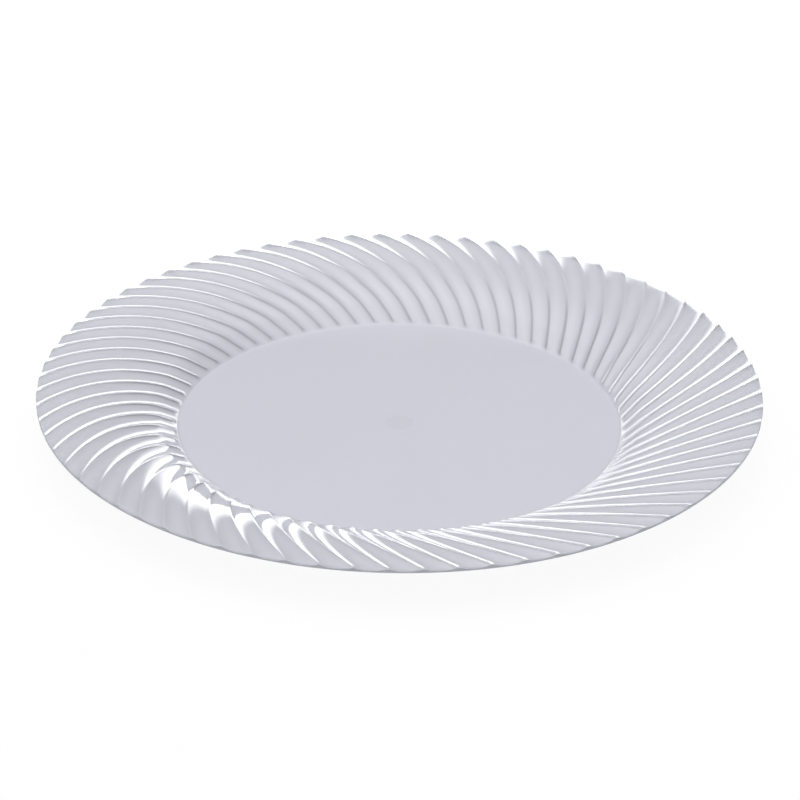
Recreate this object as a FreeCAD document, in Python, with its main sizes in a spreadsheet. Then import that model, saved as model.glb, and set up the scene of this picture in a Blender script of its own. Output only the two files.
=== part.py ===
import FreeCAD, Part
import math
import os

# A round dinner plate moulded in one piece of clear plastic. A flat well is ringed by a
# short steep wall and a broad rim that levels out near its edge. Swirled flutes cover the
# wall and the rim: shallow scoops side by side, which meet in sharp crests. The underside
# has the same flutes, so that the skin is even, but they run out before the rim's edge,
# which is level underneath. The plate rests on the flat under its well.
# Lengths are millimetres and angles degrees. Z points up, and the origin is the centre of
# the face that the plate rests on.

doc = FreeCAD.newDocument("fluted_plate")

# ---- driving sizes -------------------------------------------------------------------

sizes = [
    ("rim_radius", 130.0, "centre to the edge of the rim"),
    ("well_radius", 79.6, "centre to where the flat well starts to rise"),
    ("well_fillet", 1.2, "round between the well and the wall, on top"),
    ("wall_slope", 36.0, "steepest slope, on the wall beside the well"),
    ("wall_length", 7.3, "straight run of the wall, measured along its slope"),
    ("shoulder_radius", 20.0, "round between the wall and the rim"),
    ("rim_slope", 26.0, "slope where the shoulder runs into the rim"),
    ("level_inset", 4.0, "how far inside its edge the rim is level"),
    ("skin_thickness", 0.6, "wall and rim, between the flutes on top and underneath"),
    ("floor_thickness", 1.0, "floor of the well"),
    ("flute_count", 72, "flutes round the plate"),
    ("swirl", 0.445, "turn of a flute for each millimetre of radius"),
    ("crest_rise_edge", 0.9, "crest above the flute's deepest line, at the rim's edge"),
    ("crest_rise_foot", 0.6, "the same, at the foot of the wall"),
    ("crest_run_in", 1.4, "radial length over which a crest rises at the foot"),
    ("groove_run_out", 4.0, "radial length over which the underside levels at the edge"),
    ("gate_radius", 5.4, "shallow recess round the moulding gate, underneath"),
    ("gate_depth", 0.25, "depth of that recess"),
    ("stub_radius", 0.8, "stub that the gate leaves in the recess"),
    ("stub_length", 0.2, "how far the stub stands down from the recess"),
]
sheet = doc.addObject("Spreadsheet::Sheet", "sizes")
for row, (alias, value, note) in enumerate(sizes, start=1):
    sheet.set(f"A{row}", alias)
    sheet.set(f"B{row}", str(value))
    sheet.set(f"C{row}", note)
    sheet.setAlias(f"B{row}", alias)
doc.recompute()

rim_radius = float(sheet.rim_radius)
well_radius = float(sheet.well_radius)
well_fillet = float(sheet.well_fillet)
wall_slope = float(sheet.wall_slope)
wall_length = float(sheet.wall_length)
shoulder_radius = float(sheet.shoulder_radius)
rim_slope = float(sheet.rim_slope)
level_inset = float(sheet.level_inset)
skin_thickness = float(sheet.skin_thickness)
floor_thickness = float(sheet.floor_thickness)
flute_count = int(sheet.flute_count)
swirl = float(sheet.swirl)
crest_rise_edge = float(sheet.crest_rise_edge)
crest_rise_foot = float(sheet.crest_rise_foot)
crest_run_in = float(sheet.crest_run_in)
groove_run_out = float(sheet.groove_run_out)

flute_pitch = 360.0 / flute_count
origin = FreeCAD.Vector(0, 0, 0)
axis = FreeCAD.Vector(0, 0, 1)

# ---- section through the plate, in the XZ plane ----------------------------------------


def uphill(slope):
    """Unit vector outward and up at this slope."""
    angle = math.radians(slope)
    return FreeCAD.Vector(math.cos(angle), 0, math.sin(angle))


def above(slope):
    """Unit vector square to a surface of this slope, on its upper side."""
    angle = math.radians(slope)
    return FreeCAD.Vector(-math.sin(angle), 0, math.cos(angle))


def section_arc(centre, reach, first_slope, last_slope):
    """Arc between two slopes. A negative reach puts it under its centre."""
    slopes = (first_slope, (first_slope + last_slope) / 2, last_slope)
    return Part.Arc(*[centre + above(slope) * reach for slope in slopes]).toShape()


# The upper side, along the deepest lines of the flutes, from the well outwards.
fillet_centre = FreeCAD.Vector(well_radius, 0, floor_thickness + well_fillet)
wall_start = fillet_centre - above(wall_slope) * well_fillet
shoulder_start = wall_start + uphill(wall_slope) * wall_length
shoulder_centre = shoulder_start - above(wall_slope) * shoulder_radius
rim_start = shoulder_centre + above(rim_slope) * shoulder_radius
rim_arc = (rim_radius - level_inset - rim_start.x) / math.sin(math.radians(rim_slope))
rim_centre = rim_start - above(rim_slope) * rim_arc
fillet_edge = section_arc(fillet_centre, -well_fillet, 0, wall_slope)


def skin_height(radius, depth):
    """Height of the skin, at this radius, that far under the flutes' deepest lines."""
    wall_top = shoulder_start - above(wall_slope) * depth
    if radius < wall_top.x:
        return wall_top.z - (wall_top.x - radius) * math.tan(math.radians(wall_slope))
    shoulder_top = rim_start - above(rim_slope) * depth
    centre, reach = (rim_centre, rim_arc - depth)
    if radius < shoulder_top.x:
        centre, reach = (shoulder_centre, shoulder_radius - depth)
    return centre.z + math.sqrt(reach**2 - (radius - centre.x) ** 2)


# The underside rounds off from the wall onto the resting face.
foot_round = well_fillet + floor_thickness
wall_under = FreeCAD.Vector(wall_start.x, 0, skin_height(wall_start.x, skin_thickness))
foot_corner = wall_under.x - wall_under.z / math.tan(math.radians(wall_slope))
foot_start = foot_corner - foot_round * math.tan(math.radians(wall_slope / 2))
foot_centre = FreeCAD.Vector(foot_start, 0, foot_round)
foot_end = foot_centre - above(wall_slope) * foot_round
foot_edges = [
    section_arc(foot_centre, -foot_round, 0, wall_slope),
    Part.makeLine(foot_end, wall_under),
]

# ---- one flute -------------------------------------------------------------------------

rows_along = 36     # rows of surface points from the wall's foot to the rim's edge
row_crowding = 1.5  # power that crowds the rows towards the foot, where the crest rises
spans_across = 6    # spans between surface points, from crest to crest


def eased(share):
    """Share from 0 to 1 that starts and ends gently."""
    share = min(max(share, 0.0), 1.0)
    return share**2 * (3 - 2 * share)


def crest_rise(radius):
    """Height of the crests above the deepest lines at this radius."""
    share = (radius - wall_start.x) / (rim_radius - wall_start.x)
    full_rise = crest_rise_foot + (crest_rise_edge - crest_rise_foot) * share
    return full_rise * eased((radius - wall_start.x) / crest_run_in)


def groove_rise(radius):
    """The same under the crests, down to nothing at the rim's edge."""
    return crest_rise(radius) * eased((rim_radius - radius) / groove_run_out)


def flute_angle(radius):
    """Angle of the flute's first crest at this radius. It is 0 at the rim's edge."""
    return -swirl * (rim_radius - radius)


def flute_point(radius, across, depth, rise_at):
    """Point of the scoop, where across goes from 0 on one crest to 1 on the next."""
    height = skin_height(radius, depth) + rise_at(radius) * (2 * across - 1) ** 2
    angle = math.radians(flute_angle(radius) + across * flute_pitch)
    return FreeCAD.Vector(radius * math.cos(angle), radius * math.sin(angle), height)


def spline_through(points, shares):
    curve = Part.BSplineCurve()
    curve.interpolate(Points=points, Parameters=shares)
    return curve


shares_along = [(row / rows_along) ** row_crowding for row in range(rows_along + 1)]
shares_across = [span / spans_across for span in range(spans_across + 1)]
reach_along = [wall_start.x + (rim_radius - wall_start.x) * share for share in shares_along]


def fluted_surface(depth, rise_at):
    """One flute's surface. Splines run out along it, and others cross through their poles,
    so that neighbouring flutes meet in exactly the same crest."""
    long_splines = [
        spline_through(
            [flute_point(radius, across, depth, rise_at) for radius in reach_along], shares_along
        )
        for across in shares_across
    ]
    cross_splines = [
        spline_through(list(poles), shares_across)
        for poles in zip(*[spline.getPoles() for spline in long_splines])
    ]
    surface = Part.BSplineSurface()
    surface.buildFromPolesMultsKnots(
        [spline.getPoles() for spline in cross_splines],
        long_splines[0].getMultiplicities(),
        cross_splines[0].getMultiplicities(),
        long_splines[0].getKnots(),
        cross_splines[0].getKnots(),
        False,
        False,
        long_splines[0].Degree,
        cross_splines[0].Degree,
    )
    return surface


flute_top = fluted_surface(0.0, crest_rise)
flute_under = fluted_surface(skin_thickness, groove_rise)
rim_edges = [side.uIso(side.bounds()[1]).toShape() for side in (flute_top, flute_under)]

# ---- faces of one flute's share of the plate ---------------------------------------------


def turned(shape, angle):
    return shape.rotated(origin, axis, angle)


def disc(radius, height):
    """Flat disc, its edge in one arc for each flute."""
    middle = FreeCAD.Vector(0, 0, height)
    turns = [flute_angle(wall_start.x) + turn * flute_pitch for turn in range(flute_count)]
    ring = Part.Circle(middle, axis, radius)
    arcs = [
        Part.ArcOfCircle(ring, math.radians(angle), math.radians(angle + flute_pitch)).toShape()
        for angle in turns
    ]
    return Part.Face(Part.Wire(arcs))


plain_edges = [fillet_edge] + foot_edges
plain_bands = [
    turned(edge, flute_angle(wall_start.x)).revolve(origin, axis, flute_pitch)
    for edge in plain_edges
]
share_faces = [flute_top.toShape(), flute_under.toShape(), Part.makeRuledSurface(*rim_edges)]
share_faces += plain_bands

# ---- the fluted dish ---------------------------------------------------------------------

faces = [disc(well_radius, floor_thickness), disc(foot_start, 0)]
for turn in range(flute_count):
    faces += [turned(face, turn * flute_pitch) for face in share_faces]
dish_solid = Part.Solid(Part.Shell(faces)).removeSplitter()
if dish_solid.Volume < 0:
    dish_solid.reverse()
fluted_dish = doc.addObject("Part::Feature", "fluted_dish")
fluted_dish.Shape = dish_solid

# ---- gate mark under the middle, and the finished plate -------------------------------------

gate_recess = doc.addObject("Part::Cylinder", "gate_recess")
gate_recess.setExpression("Radius", "sizes.gate_radius")
gate_recess.setExpression("Height", "sizes.gate_depth")
gate_stub = doc.addObject("Part::Cylinder", "gate_stub")
gate_stub.setExpression("Radius", "sizes.stub_radius")
gate_stub.setExpression("Height", "sizes.stub_length")
gate_stub.setExpression("Placement.Base.z", "sizes.gate_depth - sizes.stub_length")
gate_mark = doc.addObject("Part::Cut", "gate_mark")
gate_mark.Base = gate_recess
gate_mark.Tool = gate_stub
plate = doc.addObject("Part::Cut", "plate")
plate.Base = fluted_dish
plate.Tool = gate_mark
plate.Label = "plate"
doc.recompute()

# ---- checks and export ---------------------------------------------------------------------

for item in doc.Objects:
    if "Invalid" in item.State or "Error" in item.State:
        raise RuntimeError(f"{item.Label} failed: {item.State}")
if plate.Shape.isNull() or not plate.Shape.isValid() or len(plate.Shape.Solids) != 1:
    raise RuntimeError("the plate is not one valid solid")
if plate.Shape.Volume >= fluted_dish.Shape.Volume:
    raise RuntimeError("the gate mark cuts nothing")

os.makedirs("parts", exist_ok=True)
plate.Shape.exportStep(f"parts/{plate.Label}.step")
box = plate.Shape.optimalBoundingBox(False)
print(f"plate {box.XLength:.3f} x {box.YLength:.3f} x {box.ZLength:.3f} mm, lowest {box.ZMin:.3f}")
print(f"volume {plate.Shape.Volume / 1000:.2f} cm3, {len(plate.Shape.Faces)} faces")
print(f"rim arc {rim_arc:.1f} mm, well to crest {box.ZMax - floor_thickness:.2f} mm")
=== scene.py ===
import math

import bpy
from mathutils import Matrix, Vector


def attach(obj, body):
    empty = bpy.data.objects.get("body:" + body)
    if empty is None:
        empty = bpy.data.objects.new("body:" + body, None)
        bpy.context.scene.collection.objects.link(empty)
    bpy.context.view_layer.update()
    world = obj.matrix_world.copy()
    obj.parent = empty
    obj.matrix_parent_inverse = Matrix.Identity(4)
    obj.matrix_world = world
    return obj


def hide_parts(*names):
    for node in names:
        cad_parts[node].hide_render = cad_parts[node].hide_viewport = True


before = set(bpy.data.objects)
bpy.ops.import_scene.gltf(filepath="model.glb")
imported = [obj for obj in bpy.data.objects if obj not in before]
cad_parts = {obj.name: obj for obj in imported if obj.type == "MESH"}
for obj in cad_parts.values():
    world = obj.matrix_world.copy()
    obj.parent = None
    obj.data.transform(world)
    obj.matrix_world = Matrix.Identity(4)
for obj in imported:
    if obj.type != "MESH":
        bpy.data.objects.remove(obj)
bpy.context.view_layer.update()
mm = 0.001
scene = bpy.context.scene
print("frame loaded")

# The plate in millimetres and degrees, with the CAD part's own sizes.
plateSizes = {
    "rimRadius": 130.0,
    "wellRadius": 79.6,
    "wellFillet": 1.2,
    "wallSlope": 36.0,
    "wallLength": 7.3,
    "shoulderRadius": 20.0,
    "rimSlope": 26.0,
    "levelInset": 4.0,
    "skinThickness": 0.6,
    "floorThickness": 1.0,
    "fluteCount": 72,
    "swirl": 0.445,          # degrees for each millimetre of radius
    "crestRiseEdge": 0.9,
    "crestRiseFoot": 0.6,
    "crestRunIn": 1.4,
    "grooveRunOut": 4.0,
    "gateRadius": 5.4,
    "gateDepth": 0.25,
    "stubRadius": 0.8,
    "stubLength": 0.2,
}
# How finely the plate is meshed, and the small rounds that moulding leaves.
plateMesh = {
    "acrossSteps": 12,       # faces across a flute
    "topRings": 34,
    "ringCrowding": 1.5,     # crowds the rings towards the foot of the wall
    "filletRings": 5,
    "underRings": 28,
    "levelWave": 0.002,      # what is left of a crest where the underside is level
    "flatBorder": 1.5,       # flat ring inside the fillets
    "crestRound": 0.48,
    "topRound": 0.32,
    "edgeRound": 0.14,
    "roundSegments": 3,
    "gateBorder": 0.2,
    "smoothBelow": 50.0,     # edges that turn less are shaded smooth
    "mergeWithin": 0.005,
}
slack = 0.01                 # millimetres or degrees that a vertex may be off its place
angleSlack = 1e-5            # the same in radians
fluteTurn = math.radians(360 / plateSizes["fluteCount"])


# The section that the plate follows is a line in the plane of X and Z.
def uphill(slope):
    return Vector((math.cos(math.radians(slope)), 0, math.sin(math.radians(slope))))


def above(slope):
    return Vector((-math.sin(math.radians(slope)), 0, math.cos(math.radians(slope))))


def sectionOf(s):
    filletCentre = Vector((s["wellRadius"], 0, s["floorThickness"] + s["wellFillet"]))
    wallStart = filletCentre - above(s["wallSlope"]) * s["wellFillet"]
    shoulderStart = wallStart + uphill(s["wallSlope"]) * s["wallLength"]
    shoulderCentre = shoulderStart - above(s["wallSlope"]) * s["shoulderRadius"]
    rimStart = shoulderCentre + above(s["rimSlope"]) * s["shoulderRadius"]
    rimArc = (s["rimRadius"] - s["levelInset"] - rimStart.x) / math.sin(math.radians(s["rimSlope"]))
    return {
        "filletCentre": filletCentre,
        "wallStart": wallStart,
        "shoulderStart": shoulderStart,
        "shoulderCentre": shoulderCentre,
        "rimStart": rimStart,
        "rimArc": rimArc,
        "rimCentre": rimStart - above(s["rimSlope"]) * rimArc,
    }


section = sectionOf(plateSizes)


def skinHeight(radius, depth=0.0):
    # height of the deepest lines of the flutes, or of the skin that far under them
    s, c = plateSizes, section
    wallTop = c["shoulderStart"] - above(s["wallSlope"]) * depth
    if radius < wallTop.x:
        return wallTop.z - (wallTop.x - radius) * math.tan(math.radians(s["wallSlope"]))
    shoulderTop = c["rimStart"] - above(s["rimSlope"]) * depth
    centre, reach = c["rimCentre"], c["rimArc"] - depth
    if radius < shoulderTop.x:
        centre, reach = c["shoulderCentre"], s["shoulderRadius"] - depth
    return centre.z + math.sqrt(reach**2 - (radius - centre.x) ** 2)


def eased(share):
    # from 0 to 1, level at both ends
    share = min(max(share, 0.0), 1.0)
    return share**2 * (3 - 2 * share)


def crestRise(radius):
    s, foot = plateSizes, section["wallStart"].x
    share = (radius - foot) / (s["rimRadius"] - foot)
    rise = s["crestRiseFoot"] + (s["crestRiseEdge"] - s["crestRiseFoot"]) * share
    return rise * eased((radius - foot) / s["crestRunIn"])


def underRise(radius):
    # the underside follows the flutes, and runs out to a level line at the rim's edge
    s = plateSizes
    return crestRise(radius) * eased((s["rimRadius"] - radius) / s["grooveRunOut"])


def selectNothing():
    for o in bpy.context.selected_objects:
        o.select_set(False)


def edit(kind="VERT"):
    bpy.ops.object.mode_set(mode="EDIT")
    bpy.ops.mesh.select_mode(type=kind)


def leaveEdit():
    bpy.ops.object.mode_set(mode="OBJECT")


def pickVertices(obj, wanted):
    # leaves edit mode with the wanted vertices selected, and goes back in
    bpy.ops.mesh.select_mode(type="VERT")
    bpy.ops.mesh.select_all(action="DESELECT")
    leaveEdit()
    for v in obj.data.vertices:
        v.select = wanted(v.co / mm)
    bpy.ops.object.mode_set(mode="EDIT")


def radiusOf(co):
    return math.hypot(co.x, co.y)


def near(a, b, within=slack):
    return abs(a - b) < within


class Ring:
    # the chain of vertices being pulled along, as its radius, level and crest rise
    def __init__(self, radius, level, rise):
        self.radius, self.level, self.rise = radius, level, rise

    def pull(self, radius, level, rise=0.0, swirled=False):
        bpy.ops.mesh.extrude_region_move()
        shrink = radius / self.radius
        stretch = rise / self.rise if self.rise else 1.0
        pivot = (0, 0, self.level * mm)
        bpy.ops.transform.resize(value=(shrink, shrink, stretch), center_override=pivot)
        if swirled:
            turn = math.radians(plateSizes["swirl"] * (self.radius - radius))
            bpy.ops.transform.rotate(value=turn, orient_axis="Z", center_override=(0, 0, 0))
        bpy.ops.transform.translate(value=(0, 0, (level - self.level) * mm))
        self.radius, self.level, self.rise = radius, level, rise


def startFlute():
    # the rim edge of one flute, with the crest in its middle
    s, m = plateSizes, plateMesh
    # of a square's corners only the one on the X axis is kept
    bpy.ops.mesh.primitive_circle_add(vertices=4, radius=s["rimRadius"] * mm)
    flute = bpy.context.object
    edit()
    pickVertices(flute, lambda co: co.x < s["rimRadius"] / 2)
    bpy.ops.mesh.delete(type="VERT")
    bpy.ops.mesh.select_all(action="SELECT")
    bpy.ops.transform.rotate(value=-fluteTurn / 2, orient_axis="Z", center_override=(0, 0, 0))
    bpy.ops.mesh.spin(steps=m["acrossSteps"], angle=fluteTurn, center=(0, 0, 0), axis=(0, 0, 1))
    level, rise = skinHeight(s["rimRadius"]), crestRise(s["rimRadius"])
    bpy.ops.mesh.select_all(action="SELECT")
    bpy.ops.transform.translate(value=(0, 0, level * mm))
    # each pair of points is raised onto the scoops to the left and right of the crest
    for step in range(m["acrossSteps"] // 2 + 1):
        across = 1 - 2 * step / m["acrossSteps"]
        angle = fluteTurn * step / m["acrossSteps"]
        pickVertices(flute, lambda co: near(abs(math.atan2(co.y, co.x)), angle, angleSlack))
        bpy.ops.transform.translate(value=(0, 0, rise * across**2 * mm))
    return flute


def onCrest(co):
    s = plateSizes
    straightened = math.degrees(math.atan2(co.y, co.x)) + s["swirl"] * (s["rimRadius"] - radiusOf(co))
    return near(straightened, 0.0)


def ringRadii(count):
    # from the rim inwards, closer together towards the foot of the wall
    foot, rim = section["wallStart"].x, plateSizes["rimRadius"]
    for step in range(count - 1, -1, -1):
        yield foot + (rim - foot) * (step / count) ** plateMesh["ringCrowding"]


def pullRound(ring, centre, reach):
    # from the slope of the wall down to level
    count = plateMesh["filletRings"]
    for step in range(count - 1, -1, -1):
        point = centre - above(plateSizes["wallSlope"] * step / count) * reach
        ring.pull(point.x, point.z)


def fluteTop(flute):
    s, m, c = plateSizes, plateMesh, section
    ring = Ring(s["rimRadius"], skinHeight(s["rimRadius"]), crestRise(s["rimRadius"]))
    bpy.ops.mesh.select_all(action="SELECT")
    for radius in ringRadii(m["topRings"]):
        ring.pull(radius, skinHeight(radius), crestRise(radius), swirled=True)
    # the crest's sharp line gets its small round
    pickVertices(flute, onCrest)
    bpy.ops.mesh.select_mode(type="EDGE")
    bpy.ops.mesh.bevel(offset=m["crestRound"] * mm, segments=m["roundSegments"], affect="EDGES")
    # the round into the well, and a flat border
    pickVertices(flute, lambda co: near(radiusOf(co), c["wallStart"].x))
    pullRound(ring, c["filletCentre"], s["wellFillet"])
    ring.pull(s["wellRadius"] - m["flatBorder"], s["floorThickness"])


def footOf(s):
    # the centre and radius of the round from the underside of the wall to the resting face
    reach = s["wellFillet"] + s["floorThickness"]
    wallUnder = section["wallStart"] - above(s["wallSlope"]) * s["skinThickness"]
    corner = wallUnder.x - wallUnder.z / math.tan(math.radians(s["wallSlope"]))
    start = corner - reach * math.tan(math.radians(s["wallSlope"] / 2))
    return Vector((start, 0, reach)), reach


def fluteUnderside(flute):
    s, m = plateSizes, plateMesh
    thin = s["skinThickness"]
    footCentre, footReach = footOf(s)
    wallEnd = footCentre - above(s["wallSlope"]) * footReach
    pickVertices(flute, lambda co: near(radiusOf(co), s["rimRadius"]))
    # down the rim's edge, onto an almost level line
    top, bottom = skinHeight(s["rimRadius"]), skinHeight(s["rimRadius"], thin)
    ring = Ring(s["rimRadius"], top, crestRise(s["rimRadius"]))
    ring.pull(s["rimRadius"], bottom, m["levelWave"])
    for radius in ringRadii(m["underRings"]):
        rise = max(underRise(radius), m["levelWave"])
        ring.pull(radius, skinHeight(radius, thin), rise, swirled=True)
    ring.pull(wallEnd.x, wallEnd.z)
    pullRound(ring, footCentre, footReach)
    ring.pull(footCentre.x - m["flatBorder"], 0.0)


def closeMiddle(obj):
    # the flat of the well, and the resting face with the mark of the moulding gate
    s, m = plateSizes, plateMesh
    footCentre, _ = footOf(s)
    wellFlat, footFlat = s["wellRadius"] - m["flatBorder"], footCentre.x - m["flatBorder"]
    edit()
    pickVertices(obj, lambda co: near(radiusOf(co), wellFlat) and co.z > s["floorThickness"] / 2)
    bpy.ops.mesh.edge_face_add()
    pickVertices(obj, lambda co: near(radiusOf(co), footFlat) and co.z < s["floorThickness"] / 2)
    ring = Ring(footFlat, 0.0, 0.0)
    ring.pull(s["gateRadius"] + m["gateBorder"], 0.0)
    ring.pull(s["gateRadius"], 0.0)
    ring.pull(s["gateRadius"] - s["gateDepth"], s["gateDepth"])
    ring.pull(s["gateRadius"] - s["gateDepth"] - m["gateBorder"], s["gateDepth"])
    ring.pull(s["stubRadius"] + m["gateBorder"], s["gateDepth"])
    ring.pull(s["stubRadius"], s["gateDepth"])
    ring.pull(s["stubRadius"], s["gateDepth"] - s["stubLength"])
    bpy.ops.mesh.edge_face_add()
    bpy.ops.mesh.select_all(action="SELECT")
    bpy.ops.mesh.normals_make_consistent(inside=False)
    leaveEdit()


def roundRim(obj, lowest, highest, size):
    # a small round along the rim's edges that lie between two levels
    s, m = plateSizes, plateMesh
    edit("EDGE")
    bpy.ops.mesh.select_all(action="DESELECT")
    leaveEdit()
    data = obj.data
    for e in data.edges:
        a, b = [data.vertices[i].co / mm for i in e.vertices]
        onRim = near(radiusOf(a), s["rimRadius"]) and near(radiusOf(b), s["rimRadius"])
        around = (a.xy - b.xy).length > slack
        e.select = onRim and around and lowest < min(a.z, b.z) and max(a.z, b.z) < highest
    bpy.ops.object.mode_set(mode="EDIT")
    bpy.ops.mesh.bevel(offset=size * mm, segments=m["roundSegments"], affect="EDGES")
    leaveEdit()


def makePlate():
    s, m = plateSizes, plateMesh
    selectNothing()
    plate = startFlute()
    fluteTop(plate)
    fluteUnderside(plate)
    leaveEdit()
    plate.name = "mouldedPlate"
    # the flute is repeated round the axis, and its neighbours' edges are merged
    turner = bpy.data.objects.new("fluteTurn", None)
    scene.collection.objects.link(turner)
    turner.rotation_euler = (0, 0, fluteTurn)
    row = plate.modifiers.new("flutesRound", "ARRAY")
    row.use_relative_offset = False
    row.use_object_offset = True
    row.offset_object = turner
    row.count = s["fluteCount"]
    row.use_merge_vertices = True
    row.use_merge_vertices_cap = True
    row.merge_threshold = m["mergeWithin"] * mm
    bpy.context.view_layer.update()
    bpy.context.view_layer.objects.active = plate
    bpy.ops.object.modifier_apply(modifier=row.name)
    bpy.data.objects.remove(turner)
    closeMiddle(plate)
    middle = skinHeight(s["rimRadius"], s["skinThickness"] / 2)
    roundRim(plate, middle, math.inf, m["topRound"])
    roundRim(plate, -math.inf, middle, m["edgeRound"])
    bpy.ops.object.shade_smooth_by_angle(angle=math.radians(m["smoothBelow"]))
    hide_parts("plate")
    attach(plate, "root")
    return plate


# Clear plastic with a slight haze. Its colour carries painted shade: darker along the crests,
# most so on the wall, and a little over the whole rim, for the light the skin sends aside where it
# turns sharply.
plasticLook = {
    "tint": (0.72, 0.725, 0.79, 1),
    "ior": 1.59,
    "metal": 0.0,
    "clearness": 0.5,
    "roughLow": 0.01,
    "roughHigh": 0.03,
    "unevenScale": 60.0,
    "unevenDetail": 3.0,
    "bumpScale": 220.0,
    "bumpHeight": 2e-6,
    "bumpStrength": 1.0,
    # the painted shade's darkest line lies this far off each crest
    "crestShift": 0.04,      # as a share of a flute
    # painted shade: colour levels by distance from the nearest crest, on the wall and on the rim
    "paintedWallShade": [(0.0, 0.66), (0.05, 0.72), (0.10, 0.91), (0.22, 0.96), (0.5, 1.0)],
    "paintedRimShade": [(0.0, 0.90), (0.08, 0.90), (0.2, 0.92), (0.35, 0.94), (0.5, 0.95)],
    "wallEnds": (94.0, 106.0),  # radii between which the wall's shade gives way to the rim's
    # painted shade over the moulding gate's recess, and how softly it fades out
    "paintedGateShade": (0.97, 0.97, 0.97, 1),
    "gateFade": 0.5,
}
pureWhite = (1, 1, 1, 1)


def startMaterial(name):
    mat = bpy.data.materials.new(name)
    mat.use_nodes = True
    mat.node_tree.nodes.clear()
    return mat, mat.node_tree.nodes, mat.node_tree.links


def calculate(tree, kind, first, second=None, third=None):
    step = tree.nodes.new("ShaderNodeMath")
    step.operation = kind
    for socket, value in zip(step.inputs, (first, second, third)):
        if isinstance(value, bpy.types.NodeSocket):
            tree.links.new(value, socket)
        elif value is not None:
            socket.default_value = value
    return step.outputs["Value"]


def smoothly(tree, value, start, end):
    # 0 up to the start and 1 from the end on
    fade = tree.nodes.new("ShaderNodeMapRange")
    fade.interpolation_type = "SMOOTHSTEP"
    fade.inputs["From Min"].default_value = start
    fade.inputs["From Max"].default_value = end
    tree.links.new(value, fade.inputs["Value"])
    return fade.outputs["Result"]


def greys(tree, value, stops):
    # a colour ramp of grey levels, each stop given as its position and level
    ramp = tree.nodes.new("ShaderNodeValToRGB")
    elements = ramp.color_ramp.elements
    while len(elements) < len(stops):
        elements.new(0.5)
    for element, (position, level) in zip(elements, stops):
        element.position = position
        element.color = (level, level, level, 1)
    tree.links.new(value, ramp.inputs["Fac"])
    return ramp.outputs["Color"]


def blend(tree, kind, factor, first, second):
    mix = tree.nodes.new("ShaderNodeMix")
    mix.data_type = "RGBA"
    mix.blend_type = kind
    for name, value in (("Factor_Float", factor), ("A_Color", first), ("B_Color", second)):
        socket = next(i for i in mix.inputs if i.identifier == name)
        if isinstance(value, bpy.types.NodeSocket):
            tree.links.new(value, socket)
        else:
            socket.default_value = value
    return next(o for o in mix.outputs if o.identifier == "Result_Color")


def paintedCrestShade(tree, place, look):
    # painted shade: how light the skin's colour is made, by its distance from the nearest crest and
    # from the axis
    s = plateSizes
    split = tree.nodes.new("ShaderNodeSeparateXYZ")
    tree.links.new(place, split.inputs["Vector"])
    x, y = split.outputs["X"], split.outputs["Y"]
    across = calculate(tree, "MULTIPLY", x, x)
    radius = calculate(tree, "SQRT", calculate(tree, "MULTIPLY_ADD", y, y, across))
    radius = calculate(tree, "DIVIDE", radius, mm)
    # the flutes are straightened, and counted round the plate
    swirl = math.radians(s["swirl"])
    swirled = calculate(tree, "MULTIPLY_ADD", radius, -swirl, swirl * s["rimRadius"])
    turn = calculate(tree, "ADD", calculate(tree, "ARCTAN2", y, x), swirled)
    flutes = s["fluteCount"] / (2 * math.pi)
    flute = calculate(tree, "MULTIPLY_ADD", turn, flutes, -look["crestShift"])
    away = calculate(tree, "PINGPONG", flute, 0.5)  # 0 on a crest and 0.5 midway between two
    # painted shade levels for the wall and for the rim, blended between them by radius
    wall, rim = greys(tree, away, look["paintedWallShade"]), greys(tree, away, look["paintedRimShade"])
    shade = blend(tree, "MIX", smoothly(tree, radius, *look["wallEnds"]), wall, rim)
    foot = section["wallStart"].x
    shade = blend(tree, "MIX", smoothly(tree, radius, foot, foot + s["crestRunIn"]), pureWhite, shade)
    # a little painted shade over the moulding gate's recess
    inGate = smoothly(tree, radius, s["gateRadius"], s["gateRadius"] - look["gateFade"])
    return blend(tree, "MIX", inGate, shade, look["paintedGateShade"])


def clearPlastic(look):
    mat, nodes, links = startMaterial("clearPlastic")
    tree = mat.node_tree
    out = nodes.new("ShaderNodeOutputMaterial")
    body = nodes.new("ShaderNodeBsdfPrincipled")
    body.inputs["IOR"].default_value = look["ior"]
    body.inputs["Transmission Weight"].default_value = look["clearness"]
    body.inputs["Metallic"].default_value = look["metal"]
    links.new(body.outputs["BSDF"], out.inputs["Surface"])
    place = nodes.new("ShaderNodeTexCoord").outputs["Object"]
    # the tint is multiplied by painted shade along the crests, over the rim and over the gate
    shade = paintedCrestShade(tree, place, look)
    links.new(blend(tree, "MULTIPLY", 1.0, look["tint"], shade), body.inputs["Base Color"])
    # the gloss is a little uneven, and the skin has very low waves
    uneven = nodes.new("ShaderNodeTexNoise")
    uneven.inputs["Scale"].default_value = look["unevenScale"]
    uneven.inputs["Detail"].default_value = look["unevenDetail"]
    links.new(place, uneven.inputs["Vector"])
    rough = nodes.new("ShaderNodeMapRange")
    rough.inputs["To Min"].default_value = look["roughLow"]
    rough.inputs["To Max"].default_value = look["roughHigh"]
    links.new(uneven.outputs["Fac"], rough.inputs["Value"])
    links.new(rough.outputs["Result"], body.inputs["Roughness"])
    waves = nodes.new("ShaderNodeTexNoise")
    waves.inputs["Scale"].default_value = look["bumpScale"]
    links.new(place, waves.inputs["Vector"])
    bump = nodes.new("ShaderNodeBump")
    bump.inputs["Strength"].default_value = look["bumpStrength"]
    bump.inputs["Distance"].default_value = look["bumpHeight"]
    links.new(waves.outputs["Fac"], bump.inputs["Height"])
    links.new(bump.outputs["Normal"], body.inputs["Normal"])
    return mat


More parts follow.
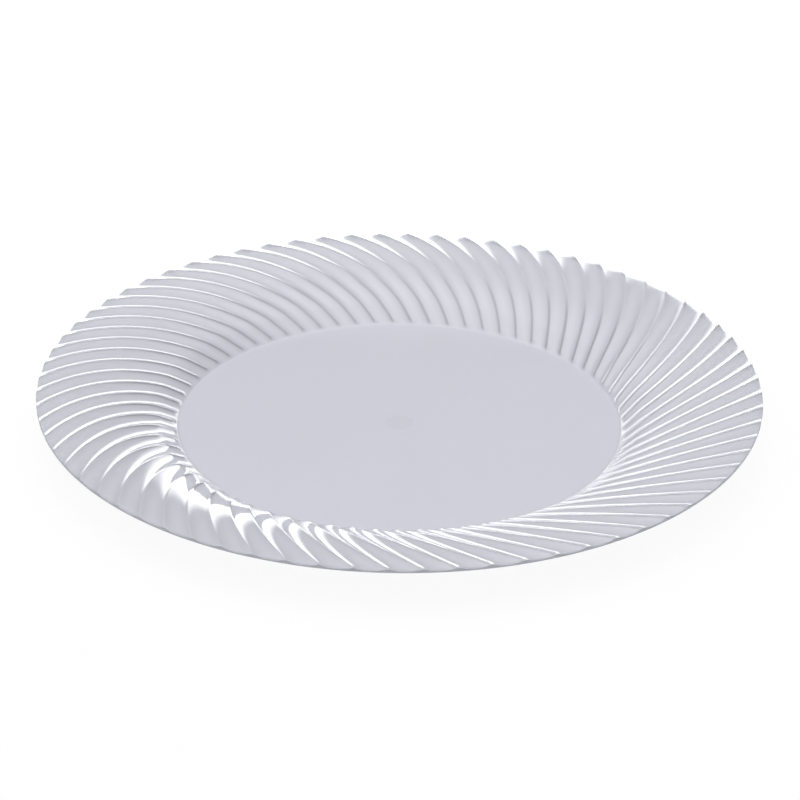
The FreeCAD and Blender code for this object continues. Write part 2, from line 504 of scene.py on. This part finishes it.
# A room lit from above, a panel of light at the left and a pale wall at the back. The room is
# given as its light at heights of the direction, and each fade runs between two values of one
# coordinate of the direction, from dark to lit.
studio = {
    "floorSize": 6.0,
    "floorGap": 0.05,                    # millimetres under the plate
    "floorWhite": 0.92,                  # share of the floor that is plain white
    "floorColour": (0.85, 0.85, 0.85, 1),
    "room": [(0.0, 0.1), (0.45, 0.25), (0.64, 0.6), (0.77, 1.1), (0.87, 1.7), (0.95, 2.35)],
    "panel": 0.9,
    "panelFades": [("X", -0.35, -0.60), ("Z", 0.50, 0.68)],
    "wall": 0.15,
    "wallFades": [("X", -0.45, -0.25), ("X", 0.45, 0.25), ("Y", 0.60, 0.80)],
}
# Two lit cards that are only seen in the gloss, one standing and one lying behind the plate.
# Their fades run along the plate's own axes in metres, from dark to lit.
standingCard = {
    "name": "standingCard",
    "place": (-0.08, 0.30, 0.12),
    "size": (0.60, 0.24),
    "tilt": 90.0,
    "strength": 3.5,
    "fades": [("X", -0.32, -0.24), ("X", 0.26, 0.19), ("Z", 0.125, 0.055)],
}
lyingCard = {
    "name": "lyingCard",
    "place": (-0.05, 0.55, 0.0005),
    "size": (1.2, 0.90),
    "tilt": 0.0,
    "strength": 0.9,
    "fades": [("X", -0.65, -0.50), ("X", 0.55, 0.40), ("Y", 0.12, 0.20), ("Y", 1.0, 0.8)],
}


def makeFloor(look):
    selectNothing()
    bpy.ops.mesh.primitive_plane_add(size=look["floorSize"], location=(0, 0, -look["floorGap"] * mm))
    floor = bpy.context.object
    floor.name = "paleFloor"
    mat, nodes, links = startMaterial("paleFloor")
    out = nodes.new("ShaderNodeOutputMaterial")
    matt = nodes.new("ShaderNodeBsdfDiffuse")
    matt.inputs["Color"].default_value = look["floorColour"]
    white = nodes.new("ShaderNodeEmission")
    both = nodes.new("ShaderNodeMixShader")
    both.inputs["Fac"].default_value = look["floorWhite"]
    links.new(matt.outputs["BSDF"], both.inputs[1])
    links.new(white.outputs["Emission"], both.inputs[2])
    # from below the floor is clear, so that the underside can be seen
    clear = nodes.new("ShaderNodeBsdfTransparent")
    sided = nodes.new("ShaderNodeMixShader")
    links.new(nodes.new("ShaderNodeNewGeometry").outputs["Backfacing"], sided.inputs["Fac"])
    links.new(both.outputs["Shader"], sided.inputs[1])
    links.new(clear.outputs["BSDF"], sided.inputs[2])
    links.new(sided.outputs["Shader"], out.inputs["Surface"])
    floor.data.materials.append(mat)


def fadeOut(tree, place, strength, fades):
    # the strength inside all of these fades, and 0 outside them
    split = tree.nodes.new("ShaderNodeSeparateXYZ")
    tree.links.new(place, split.inputs["Vector"])
    level = strength
    for axis, start, end in fades:
        level = calculate(tree, "MULTIPLY", smoothly(tree, split.outputs[axis], start, end), level)
    return level


def makeRoom(look):
    world = bpy.data.worlds.new("studioRoom")
    scene.world = world
    world.use_nodes = True
    tree = world.node_tree
    nodes, links = tree.nodes, tree.links
    nodes.clear()
    out = nodes.new("ShaderNodeOutputWorld")
    back = nodes.new("ShaderNodeBackground")
    links.new(back.outputs["Background"], out.inputs["Surface"])
    place = nodes.new("ShaderNodeTexCoord").outputs["Generated"]
    split = nodes.new("ShaderNodeSeparateXYZ")
    links.new(place, split.inputs["Vector"])
    light = greys(tree, split.outputs["Z"], look["room"])
    for lamp in ("panel", "wall"):
        light = calculate(tree, "ADD", fadeOut(tree, place, look[lamp], look[lamp + "Fades"]), light)
    # the camera sees plain white behind the plate
    seen = nodes.new("ShaderNodeLightPath").outputs["Is Camera Ray"]
    links.new(blend(tree, "MIX", seen, light, pureWhite), back.inputs["Color"])


def makeCard(look):
    selectNothing()
    wide, high = look["size"]
    bpy.ops.mesh.primitive_plane_add(size=1.0)
    card = bpy.context.object
    card.name = look["name"]
    edit()
    bpy.ops.mesh.select_all(action="SELECT")
    bpy.ops.transform.resize(value=(wide, high, 1), center_override=(0, 0, 0))
    tilt = math.radians(look["tilt"])
    bpy.ops.transform.rotate(value=tilt, orient_axis="X", center_override=(0, 0, 0))
    bpy.ops.transform.translate(value=look["place"])
    leaveEdit()
    card.visible_camera = False
    card.visible_transmission = False
    mat, nodes, links = startMaterial(look["name"])
    out = nodes.new("ShaderNodeOutputMaterial")
    lit = nodes.new("ShaderNodeEmission")
    clear = nodes.new("ShaderNodeBsdfTransparent")
    both = nodes.new("ShaderNodeAddShader")
    place = nodes.new("ShaderNodeTexCoord").outputs["Object"]
    level = fadeOut(mat.node_tree, place, look["strength"], look["fades"])
    links.new(level, lit.inputs["Strength"])
    links.new(clear.outputs["BSDF"], both.inputs[0])
    links.new(lit.outputs["Emission"], both.inputs[1])
    links.new(both.outputs["Shader"], out.inputs["Surface"])
    card.data.materials.append(mat)


# The camera looks at the plate's axis, in millimetres and degrees.
cameraPlace = {
    "aimHeight": skinHeight(plateSizes["rimRadius"], plateSizes["skinThickness"]),
    "distance": 1144.0,
    "elevation": 27.45,
    "turn": 1.3,
    "roll": 0.58,
    "lens": 143.2,
    "sensor": 36.0,
    "shiftX": 0.0004,
    "shiftY": -0.015,
    "clip": (0.05, 20.0),    # metres
}


def makeCamera(c):
    data = bpy.data.cameras.new("camera")
    camera = bpy.data.objects.new("camera", data)
    scene.collection.objects.link(camera)
    data.sensor_width = c["sensor"]
    data.lens = c["lens"]
    data.shift_x, data.shift_y = c["shiftX"], c["shiftY"]
    data.clip_start, data.clip_end = c["clip"]
    turn, rise = math.radians(c["turn"]), math.radians(c["elevation"])
    back = Vector((math.sin(turn) * math.cos(rise), -math.cos(turn) * math.cos(rise), math.sin(rise)))
    aim = Vector((0, 0, c["aimHeight"] * mm))
    facing = (-back).to_track_quat("-Z", "Y").to_matrix().to_4x4()
    camera.matrix_world = facing @ Matrix.Rotation(math.radians(c["roll"]), 4, "Z")
    camera.location = aim + back * c["distance"] * mm
    scene.camera = camera


makeCamera(cameraPlace)
print("camera placed")
plate = makePlate()
print("plate modelled:", len(plate.data.vertices), "vertices,", len(plate.data.polygons), "faces")
plate.data.materials.append(clearPlastic(plasticLook))
print("plastic made")
makeFloor(studio)
makeCard(standingCard)
makeCard(lyingCard)
makeRoom(studio)
scene.view_settings.view_transform = "Standard"
print("studio lit")
bpy.context.view_layer.update()
